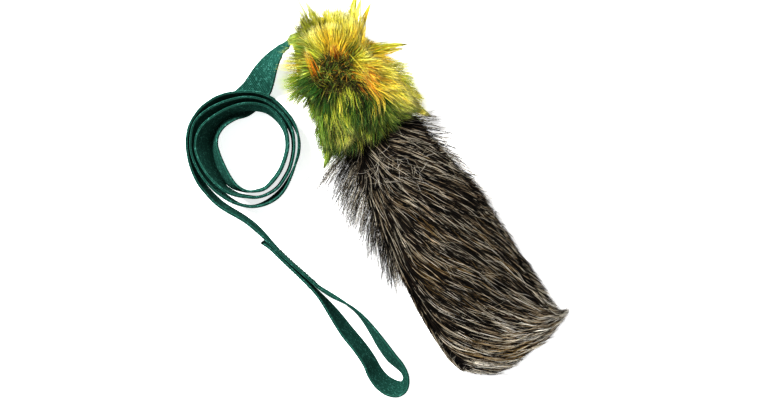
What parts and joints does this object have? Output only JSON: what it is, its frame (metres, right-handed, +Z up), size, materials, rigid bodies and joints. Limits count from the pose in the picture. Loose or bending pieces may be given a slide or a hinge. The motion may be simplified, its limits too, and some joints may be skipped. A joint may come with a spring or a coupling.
{
  "type": "fur chaser tug toy",
  "caption": "Long webbing lead with a hand loop, joined to a stuffed long-pile head with a squeaker and a flat folded fur tail.",
  "frame": {"origin": "on the surface that the toy lies on, under the middle of the fur part's box (head and tail, without the free webbing)", "axes": "+X along the fur from the crown of the head to the tip of the tail, +Z up, +Y to the right-hand side seen from above with the head at the left turned up; the free webbing lies on the -Y side"},
  "size_m": [0.345, 0.2029, 0.059],
  "materials": {
    "webbing": "matt woven nylon webbing, fine ribs and bright selvedge edges",
    "thread_green": "twisted polyester thread",
    "thread_dark": "waxed dark thread",
    "pile_yellow": "long synthetic pile, yellow with orange patches",
    "pile_green": "long synthetic pile, yellow green",
    "pelt": "grizzled grey brown guard hair on hide",
    "fibre_fill": "white polyester fibre",
    "seam_tape": "woven seam tape",
    "squeaker_plastic": "translucent soft moulded plastic",
    "reed_plastic": "small moulded whistle"
  },
  "bodies": {
    "head": {"head_cover_top": "pile_yellow", "head_cover_bottom": "pile_green", "seam_tape_right": "seam_tape", "seam_tape_left": "seam_tape", "strap_anchor": "webbing", "anchor_bar_tack": "thread_dark", "stuffing_left": "fibre_fill", "stuffing_right": "fibre_fill", "squeaker_base": "squeaker_plastic", "squeaker_reed": "reed_plastic", "neck_binding": "thread_dark"},
    "squeaker": {"squeaker_bulb": "squeaker_plastic"},
    "tail": {"tail_pelt_root": "pelt", "tail_core_root": "webbing", "tail_seam_root": "thread_dark"},
    "tail_tip": {"tail_pelt_tip": "pelt", "tail_core_tip": "webbing", "tail_seam_tip": "thread_dark"},
    "lead": {"strap_lead_in": "webbing", "strap_coil": "webbing", "strap_run": "webbing", "strap_end_lap": "webbing", "lap_box_stitch_left": "thread_green", "lap_box_stitch_right": "thread_green", "lap_bar_tack": "thread_green"},
    "handle": {"handle_loop": "webbing"}
  },
  "joints": [
    {"name": "squeaker_press", "type": "slide", "parent": "head", "child": "squeaker", "axis": [0, 0, -1], "range_m": [0, 0.0038], "stiffness_N_per_m": 300},
    {"name": "tail_fold", "type": "hinge", "parent": "head", "child": "tail", "pos_m": [-0.0469, 0, 0.0155], "axis": [0, -1, 0], "range_deg": [0, 60]},
    {"name": "tail_bend", "type": "hinge", "parent": "tail", "child": "tail_tip", "pos_m": [0.058, 0, 0.0145], "axis": [0, -1, 0], "range_deg": [0, 60]},
    {"name": "lead_swing", "type": "hinge", "parent": "head", "child": "lead", "pos_m": [-0.1546, -0.031, 0.027], "axis": [0, 0, -1], "range_deg": [-3, 60]},
    {"name": "handle_swing", "type": "hinge", "parent": "lead", "child": "handle", "pos_m": [0.03126, -0.11327, 0.0125], "axis": [0, 0, -1], "range_deg": [-6, 30]}
  ]
}
